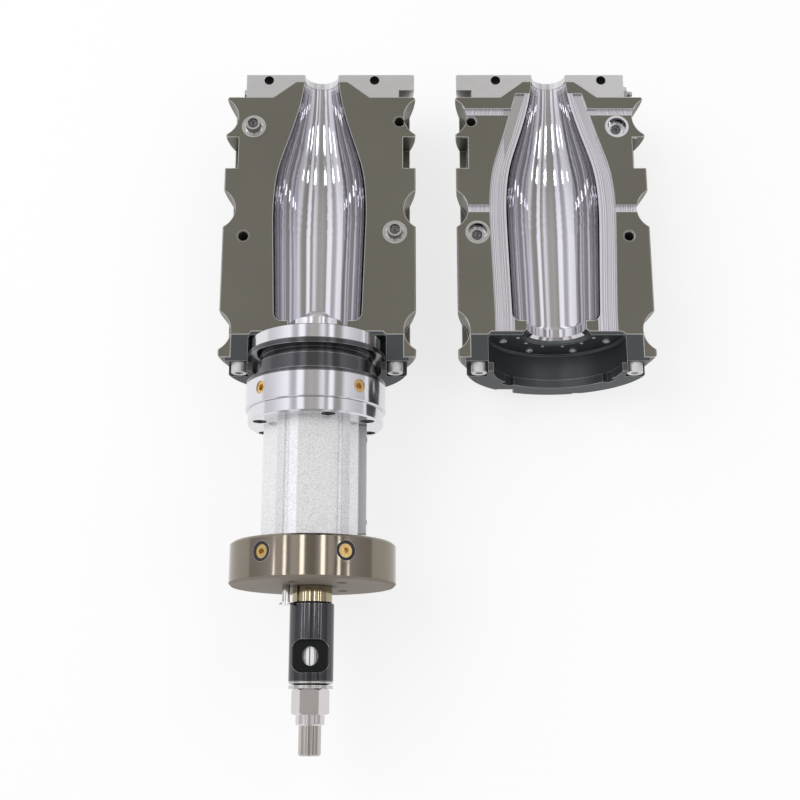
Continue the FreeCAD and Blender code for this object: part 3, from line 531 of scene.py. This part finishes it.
# Base unit: rings, collar and plugs. Turned rings of polished steel with a dark collar between them,
# whose groove takes the lips of the base rings. Two brass plugs close the radial air ports of the
# cylinder head, and black cap screws sit in the underside of the cylinder cap.

# Screws of the cylinder cap and the base head in mm: circle, station, and radius and height of a head
cap_circle, cap_station, cap_screw = 44.9, -55.2, (4.7, 5.0)
head_circle, head_station, head_screw = 36.0, 10.6, (4.7, 5.6)

# Its edges are painted dark: painted shade along the polished ring's edges.
bright_ring = turned_metal("polished turned ring", (0.74, 0.74, 0.77), 0.12, left_axis, lines=1.6,
                           relief=0.04, edge_colour=(0.20, 0.19, 0.20))
dress(["base_head", "cylinder_head", "cylinder_cap"], bright_ring)
# Pale edge colour: painted highlights along the collar's edges.
dress(["locking_collar"], turned_metal("dark collar", (0.105, 0.107, 0.115), 0.16, left_axis, 0.95,
                                       edge=0.0006, edge_colour=(0.55, 0.55, 0.56)))
brass = plain_metal("turned brass", (0.72, 0.50, 0.20), 0.14, edge_colour=(0.95, 0.85, 0.6))
dress(["head_plugs", "flange_port_plugs"], brass)
dress(["stem_bush", "rod_bush"], plain_metal("bronze bush", (0.50, 0.34, 0.16), 0.3))


def seal_finish():
    """Smooth black rubber of the seals."""
    material, tree, shader = new_finish("black seal rubber")
    clouds = place_group(tree, uneven, Cloud_Scale=60.0, Grain_Scale=2000.0)
    black = blend_colour(tree, clouds.outputs["Cloud"], (0.012, 0.012, 0.012), (0.025, 0.025, 0.025))
    tree.links.new(black, shader.inputs["Base Color"])
    tree.links.new(blend_number(tree, clouds.outputs["Grain"], 0.45, 0.6), shader.inputs["Roughness"])
    add_bump(tree, shader, clouds.outputs["Grain"], 0.08, 0.0001)
    return material


dress(["stem_seal", "rod_wiper", "flange_port_seals", "piston_seals"], seal_finish())

cap_places = on_circle(left_axis, cap_circle, (-66.0, 16.0, 65.0, 115.0, 180.0, 245.0), cap_station)
socket_screws("cylinder_cap_screw_heads", cap_places, to_foot, cap_screw, screw_black, "fixed_half")
head_places = on_circle(left_axis, head_circle, (45.0, 135.0, 225.0, 315.0), head_station)
socket_screws("base_head_screw_heads", head_places, to_neck, head_screw, screw_steel, "fixed_half")

# Cylinder barrel and rail. Barrel of extruded aluminium, bead-blasted and clear anodised, nearly
# white, with a grey rail on its flat side that two small screws hold.

# Rail screws in mm: reach from the axis, stations, and radius and height of a head
rail_reach, rail_stations, rail_screw = 40.0, (-66.7, -130.7), (1.9, 2.0)


def blasted_metal(name, colour, speck):
    """Bead-blasted metal: pale, matt and finely speckled."""
    material, tree, shader = new_finish(name)
    clouds = place_group(tree, uneven, Cloud_Scale=20.0, Grain_Scale=1500.0)
    coarse = place_group(tree, uneven, Cloud_Scale=1100.0, Grain_Scale=2600.0)
    painted_edge = place_group(tree, edge_light, Width=0.0004)
    dark = tuple(value * (1.0 - speck) for value in colour)
    pale = blend_colour(tree, between(tree, coarse.outputs["Cloud"], -1.0, 0.46, 0.06), colour, dark)
    # Painted highlight: a near-white line along the edges.
    lined = blend_colour(tree, painted_edge.outputs["Edge"], pale, (0.95, 0.95, 0.95))
    tree.links.new(lined, shader.inputs["Base Color"])
    tree.links.new(blend_number(tree, clouds.outputs["Grain"], 0.26, 0.40), shader.inputs["Roughness"])
    shader.inputs["Metallic"].default_value = 0.65
    add_bump(tree, shader, coarse.outputs["Cloud"], 0.15, 0.0002)
    return material


dress(["cylinder_barrel"], blasted_metal("blasted barrel", (0.87, 0.87, 0.885), 0.24))
dress(["sensor_rail"], blasted_metal("grey rail", (0.50, 0.51, 0.54), 0.06))
rail_places = [(left_axis + rail_reach / 1000.0, station(where), parting_height) for where in rail_stations]
to_right = (1, 0, 0)
socket_screws("sensor_rail_screw_heads", rail_places, to_right, rail_screw, screw_black, "fixed_half", 12)

# Tail flange, ports and pin. Disc of bronze-coloured anodised aluminium with two radial ports, each
# with a rubber seal and a brass plug. Four small screws hold it from below, and a headed steel pin
# hangs beside the rod.

# Stations in mm: the band that the port mouths lie in, and the underside
mouths_low, mouths_high = -171.0, -149.6
underside = -177.4
# Screws in mm: circle, station, and radius and height of a head
tail_circle, tail_station, tail_screw = 35.4, -178.4, (3.5, 3.8)


def disc_finish():
    """Bronze-coloured anodising: painted shade as dark lines on the broken rims, painted highlights on the
    rims of the port mouths, and a dull underside.
    """
    material, tree, shader = new_finish("bronze anodised disc")
    place = place_group(tree, round_place, Axis=left_axis)
    clouds = place_group(tree, uneven, Cloud_Scale=25.0, Grain_Scale=1200.0)
    painted_edge = place_group(tree, edge_light, Width=0.0006)
    # Painted light along the disc's edges: dark painted shade, and painted highlights in the band of the
    # port mouths.
    mouths = between(tree, place.outputs["Station"], mouths_low, mouths_high, 0.1)
    painted_rim_light = blend_colour(tree, mouths, (0.045, 0.040, 0.035), (0.80, 0.78, 0.74))
    base = blend_colour(tree, clouds.outputs["Cloud"], (0.205, 0.178, 0.142), (0.262, 0.230, 0.186))
    tree.links.new(blend_colour(tree, painted_edge.outputs["Edge"], base, painted_rim_light), shader.inputs["Base Color"])
    under = between(tree, place.outputs["Station"], underside - 50.0, underside, 0.1)
    gloss = blend_number(tree, clouds.outputs["Grain"], 0.08, 0.14)
    tree.links.new(blend_number(tree, under, gloss, 0.6), shader.inputs["Roughness"])
    tree.links.new(blend_number(tree, under, 0.95, 0.3), shader.inputs["Metallic"])
    add_bump(tree, shader, clouds.outputs["Grain"], 0.02, 0.0001)
    return material


dress(["tail_flange"], disc_finish())
polished = plain_metal("polished rod steel", (0.52, 0.50, 0.48), 0.09, tone=0.05)
dress(["stop_pin"], polished)
tail_places = on_circle(left_axis, tail_circle, (41.0, 143.0, 203.0, 341.0), tail_station)
socket_screws("tail_flange_screw_heads", tail_places, to_foot, tail_screw, screw_steel, "fixed_half")

# Moving base form, piston and rods. The domed base form is satin aluminium on a polished stem, and
# the piston runs in the barrel. Below, a polished rod carries a black sleeve with a milled window,
# two plated washers and a hexagon lock nut.

# Sizes in mm: the dome's edge, and the sleeve with its window and the hole in it
dome_edge = 20.9
sleeve_bore, sleeve_radius, sleeve_chamfer = 8.6, 16.5, 0.6
sleeve_top, sleeve_foot = -191.9, -248.3
window_middle = -230.25
window_floor = 9.4
window_size, window_corner = (27.6, 24.1), (8.0, 8.0)
hole_size, hole_corner = (11.2, 13.6), (5.58, 6.78)
above_sleeve = 20.0


def form_finish():
    """Satin dome on a polished disc."""
    material, tree, shader = new_finish("domed base form")
    place = place_group(tree, round_place, Axis=left_axis)
    clouds = place_group(tree, uneven, Cloud_Scale=40.0, Grain_Scale=1600.0)
    painted_edge = place_group(tree, edge_light, Width=0.0006)
    side = between(tree, place.outputs["Radius"], dome_edge, 40.0, 0.1)
    satin = blend_colour(tree, clouds.outputs["Cloud"], (0.60, 0.60, 0.59), (0.72, 0.72, 0.70))
    tone = blend_colour(tree, side, satin, (0.86, 0.85, 0.88))
    # Painted highlight along the edges of the dome and the disc.
    lined = blend_colour(tree, painted_edge.outputs["Edge"], tone, (0.95, 0.95, 0.95))
    tree.links.new(lined, shader.inputs["Base Color"])
    matt = blend_number(tree, clouds.outputs["Grain"], 0.32, 0.44)
    tree.links.new(blend_number(tree, side, matt, 0.12), shader.inputs["Roughness"])
    shader.inputs["Metallic"].default_value = 1.0
    add_bump(tree, shader, clouds.outputs["Grain"], 0.05, 0.0001)
    return material


dress(["base_insert"], form_finish())
dress(["base_stem", "stop_tube"], polished)


def rod_finish():
    """Polished rod with a painted reflection of the bronze disc, a gold tint above the sleeve, and a pale
    lined face behind the sleeve's window.
    """
    material, tree, shader = new_finish("piston rod")
    place = place_group(tree, round_place, Axis=left_axis)
    clouds = place_group(tree, uneven, Cloud_Scale=30.0, Grain_Scale=900.0)
    painted_edge = place_group(tree, edge_light, Width=0.0004)
    above = between(tree, place.outputs["Station"], sleeve_top - 0.1, 0.0, 0.1)
    behind = between(tree, place.outputs["Station"], sleeve_foot + 1.3, sleeve_top - 1.1, 0.1)
    line = tree.nodes.new("ShaderNodeTexNoise")
    line.noise_dimensions = "1D"
    line.inputs["Scale"].default_value = 0.75
    tree.links.new(place.outputs["Sideways"], line.inputs["W"])
    dark_lines = between(tree, line.outputs["Fac"], -1.0, 0.46, 0.02)
    lined = blend_colour(tree, dark_lines, (0.84, 0.83, 0.84), (0.22, 0.21, 0.22))
    steel = blend_colour(tree, clouds.outputs["Cloud"], (0.44, 0.41, 0.38), (0.58, 0.55, 0.52))
    # Painted reflection: the gold tint of the bronze disc, painted on the rod above the sleeve.
    disc_reflection_tint = blend_colour(tree, above, steel, (0.37, 0.32, 0.21))
    tone = blend_colour(tree, behind, disc_reflection_tint, lined)
    # Painted highlight along the rod's edges.
    edged = blend_colour(tree, painted_edge.outputs["Edge"], tone, (0.90, 0.89, 0.88))
    tree.links.new(edged, shader.inputs["Base Color"])
    tree.links.new(blend_number(tree, behind, 0.08, 0.5), shader.inputs["Roughness"])
    tree.links.new(blend_number(tree, behind, 1.0, 0.1), shader.inputs["Metallic"])
    add_bump(tree, shader, clouds.outputs["Grain"], 0.03, 0.0001)
    return material


dress(["piston_rod"], rod_finish())
dress(["piston"], turned_metal("turned piston", (0.60, 0.60, 0.60), 0.3, left_axis))


def sleeve_finish():
    """Glossy blackened steel outside; the milled window and the bore are dull, and painted darker as shade.
    Painted highlights line the edges.
    """
    material, tree, shader = new_finish("black glossy sleeve")
    place = place_group(tree, round_place, Axis=left_axis)
    clouds = place_group(tree, uneven, Cloud_Scale=30.0, Grain_Scale=900.0)
    painted_edge = place_group(tree, edge_light, Width=0.0005)
    # Painted shade: everything nearer the axis than the outer face, which takes in the window and the bore,
    # is painted darker.
    inside = between(tree, place.outputs["Radius"], 0.0, sleeve_radius - 0.8, 0.1)
    gloss = blend_colour(tree, clouds.outputs["Cloud"], (0.062, 0.063, 0.067), (0.090, 0.090, 0.096))
    tone = blend_colour(tree, inside, gloss, (0.020, 0.022, 0.022))
    # Painted highlight along the sleeve's edges.
    edged = blend_colour(tree, painted_edge.outputs["Edge"], tone, (0.42, 0.42, 0.43))
    tree.links.new(edged, shader.inputs["Base Color"])
    tree.links.new(blend_number(tree, inside, 0.12, 0.38), shader.inputs["Roughness"])
    shader.inputs["Metallic"].default_value = 0.95
    add_bump(tree, shader, clouds.outputs["Grain"], 0.04, 0.0001)
    return material


sleeve_black = sleeve_finish()
dress(["tail_sleeve"], sleeve_black)


def turned_about_axis(name, profile, segments):
    """Ring turned about the left half's axis, from a closed line of radius and station in mm."""
    builder = bmesh.new()
    rings = []
    for radius, where in profile:
        ring = []
        for index in range(segments):
            angle = 2 * math.pi * index / segments
            ring.append(builder.verts.new((left_axis + radius / 1000.0 * math.sin(angle), station(where),
                                           parting_height + radius / 1000.0 * math.cos(angle))))
        rings.append(ring)
    for first, second in zip(rings, rings[1:] + rings[:1]):
        for index in range(segments):
            after = (index + 1) % segments
            builder.faces.new((first[index], first[after], second[after], second[index]))
    return mesh_object(name, builder)


def upright_cutter(name, size, corner, low, high):
    """Upright block with rounded corners, in mm, that mills down into the sleeve at its window."""
    builder = bmesh.new()
    corners = []
    steps = 12
    for side_x, side_y, turn in ((1, 1, 0), (-1, 1, 90), (-1, -1, 180), (1, -1, 270)):
        middle_x = side_x * (size[0] / 2 - corner[0])
        middle_y = side_y * (size[1] / 2 - corner[1])
        for step in range(steps + 1):
            angle = math.radians(turn + 90.0 * step / steps)
            across = middle_x + corner[0] * math.cos(angle)
            along = middle_y + corner[1] * math.sin(angle)
            corners.append((left_axis + across / 1000.0, station(window_middle + along)))
    bottom = [builder.verts.new((x, y, parting_height + low / 1000.0)) for x, y in corners]
    top = [builder.verts.new((x, y, parting_height + high / 1000.0)) for x, y in corners]
    builder.faces.new(list(reversed(bottom)))
    builder.faces.new(top)
    for index in range(len(corners)):
        after = (index + 1) % len(corners)
        builder.faces.new((bottom[index], bottom[after], top[after], top[index]))
    bmesh.ops.remove_doubles(builder, verts=builder.verts, dist=0.000001)
    return mesh_object(name, builder)


end_radius = sleeve_radius - sleeve_chamfer
sleeve_line = [(sleeve_bore, sleeve_foot), (end_radius, sleeve_foot),
               (sleeve_radius, sleeve_foot + sleeve_chamfer), (sleeve_radius, sleeve_top - sleeve_chamfer),
               (end_radius, sleeve_top), (sleeve_bore, sleeve_top)]
sleeve = turned_about_axis("black_tail_sleeve", sleeve_line, 96)
cutters = [upright_cutter("window", window_size, window_corner, window_floor, above_sleeve),
           upright_cutter("window_hole", hole_size, hole_corner, 0.0, above_sleeve)]
for cutter in cutters:
    cut = sleeve.modifiers.new(cutter.name, "BOOLEAN")
    cut.operation = "DIFFERENCE"
    cut.object = cutter
milled = bpy.data.meshes.new_from_object(sleeve.evaluated_get(bpy.context.evaluated_depsgraph_get()))
sleeve.modifiers.clear()
sleeve.data = milled
for cutter in cutters:
    bpy.data.objects.remove(cutter)
smooth_between_edges(milled, 30.0)
milled.materials.clear()
milled.materials.append(sleeve_black)
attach(sleeve, "base_stroke")
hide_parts("tail_sleeve")
dress(["spring_washer", "flat_washer"], plain_metal("plated washer", (0.60, 0.59, 0.57), 0.22,
                                                    edge_colour=(0.72, 0.71, 0.69)))
dress(["lock_nut"], plain_metal("polished lock nut", (0.66, 0.63, 0.63), 0.20))

# Floor, light and camera. Plain pale floor in a plain bright room, with a row of soft lamps overhead,
# and the camera above the open halves, tilted a little.

floor_reach = 4.0
floor_mesh = bpy.data.meshes.new("floor")
floor_corners = [(across * floor_reach, along * floor_reach, 0)
                 for across, along in ((-1, -1), (1, -1), (1, 1), (-1, 1))]
floor_mesh.from_pydata(floor_corners, [], [(0, 1, 2, 3)])
floor = bpy.data.objects.new("floor", floor_mesh)
bpy.context.scene.collection.objects.link(floor)
floor_paint = bpy.data.materials.new("pale floor")
floor_paint.use_nodes = True
tree = floor_paint.node_tree
tree.nodes.clear()
output = tree.nodes.new("ShaderNodeOutputMaterial")
matt = tree.nodes.new("ShaderNodeBsdfDiffuse")
matt.inputs["Color"].default_value = (0.90, 0.90, 0.90, 1.0)
glow = tree.nodes.new("ShaderNodeEmission")
glow.inputs["Color"].default_value = (1.0, 1.0, 1.0, 1.0)
seen = tree.nodes.new("ShaderNodeLightPath")
mirrored = compute(tree, "MAXIMUM", seen.outputs["Is Glossy Ray"], seen.outputs["Is Transmission Ray"])
share = compute(tree, "MULTIPLY", compute(tree, "MAXIMUM", seen.outputs["Is Camera Ray"], mirrored), 0.75)
mix = tree.nodes.new("ShaderNodeMixShader")
tree.links.new(share, mix.inputs["Fac"])
tree.links.new(matt.outputs[0], mix.inputs[1])
tree.links.new(glow.outputs[0], mix.inputs[2])
tree.links.new(mix.outputs[0], output.inputs["Surface"])
floor_mesh.materials.append(floor_paint)

# The room: plain and pale where the camera sees it, with soft darker and brighter walls for the metal
world = bpy.data.worlds.new("studio")
bpy.context.scene.world = world
world.use_nodes = True
tree = world.node_tree
room = tree.nodes["Background"]
way = tree.nodes.new("ShaderNodeTexCoord")
split = tree.nodes.new("ShaderNodeSeparateXYZ")
tree.links.new(way.outputs["Generated"], split.inputs[0])
ramp = tree.nodes.new("ShaderNodeValToRGB")
# Walls from left to right: place, brightness and tint
stops = [(0.0, 0.60, "cool"), (0.10, 0.90, "cool"), (0.17, 1.05, "cool"), (0.21, 0.52, "cool"),
         (0.26, 0.48, "cool"), (0.29, 1.10, "cool"), (0.355, 1.05, "cool"), (0.38, 0.34, "warm"),
         (0.42, 0.42, "warm"), (0.47, 0.46, "warm"), (0.52, 0.42, "warm"), (0.56, 0.46, "warm"),
         (0.585, 0.72, "cool"), (0.63, 0.90, "cool"), (0.655, 0.44, "warm"), (0.69, 0.36, "warm"),
         (0.71, 1.10, "cool"), (0.75, 1.05, "cool"), (0.775, 0.30, "warm"), (0.84, 0.34, "warm"),
         (0.88, 0.82, "cool"), (1.0, 0.50, "cool")]
tints = {"cool": (1.0, 0.985, 1.03), "warm": (1.0, 0.97, 0.91)}
for index, (where, level, tint) in enumerate(stops):
    stop = ramp.color_ramp.elements[index] if index < 2 else ramp.color_ramp.elements.new(where)
    stop.position = where
    stop.color = (*(level * share for share in tints[tint]), 1.0)
tree.links.new(compute(tree, "MULTIPLY_ADD", split.outputs["X"], 0.5, 0.5), ramp.inputs["Fac"])
rise = tree.nodes.new("ShaderNodeMapRange")
rise.inputs["From Min"].default_value = -0.2
rise.inputs["From Max"].default_value = 0.7
rise.inputs["To Min"].default_value = 0.85
rise.inputs["To Max"].default_value = 1.35
tree.links.new(split.outputs["Y"], rise.inputs["Value"])
tree.links.new(ramp.outputs["Color"], room.inputs["Color"])
tree.links.new(rise.outputs[0], room.inputs["Strength"])
pale = tree.nodes.new("ShaderNodeBackground")
pale.inputs["Color"].default_value = (0.97, 0.97, 0.97, 1.0)
seen = tree.nodes.new("ShaderNodeLightPath")
mix = tree.nodes.new("ShaderNodeMixShader")
tree.links.new(seen.outputs["Is Camera Ray"], mix.inputs["Fac"])
tree.links.new(room.outputs[0], mix.inputs[1])
tree.links.new(pale.outputs[0], mix.inputs[2])
tree.links.new(mix.outputs[0], tree.nodes["World Output"].inputs["Surface"])


def softbox(name, place, target, width, height, power):
    """Rectangular soft lamp that faces a point."""
    lamp = bpy.data.lights.new(name, "AREA")
    lamp.shape = "RECTANGLE"
    lamp.size = width
    lamp.size_y = height
    lamp.energy = power
    obj = bpy.data.objects.new(name, lamp)
    obj.location = place
    obj.rotation_euler = (Vector(target) - Vector(place)).to_track_quat("-Z", "Y").to_euler()
    bpy.context.scene.collection.objects.link(obj)
    return obj


softbox("key", (-1.2, 0.5, 1.7), (0, 0, 0), 1.4, 1.4, 16.0).visible_glossy = False
softbox("fill", (1.3, -0.6, 1.6), (0, 0, 0), 1.2, 0.8, 6.0).visible_glossy = False
# Ceiling lamps, in metres: spacing from left to right, place along the bottle and height
lamp_spacing, lamp_line, ceiling = 0.76, 0.07, 1.62
for index in range(6):
    across = lamp_spacing * (index - 2.5)
    softbox("ceiling_%d" % index, (across, lamp_line, ceiling), (across, lamp_line, 0.0), 0.15, 0.22, 0.55)

camera_data = bpy.data.cameras.new("camera")
camera_data.sensor_width = 36.0
camera_data.lens = 54.53
camera = bpy.data.objects.new("camera", camera_data)
camera.location = (-0.02924, station(-278.44), 0.98691)
camera.rotation_euler = (math.radians(15.0), 0.0, 0.0)
bpy.context.scene.collection.objects.link(camera)
bpy.context.scene.camera = camera
bpy.context.scene.view_settings.view_transform = "Standard"
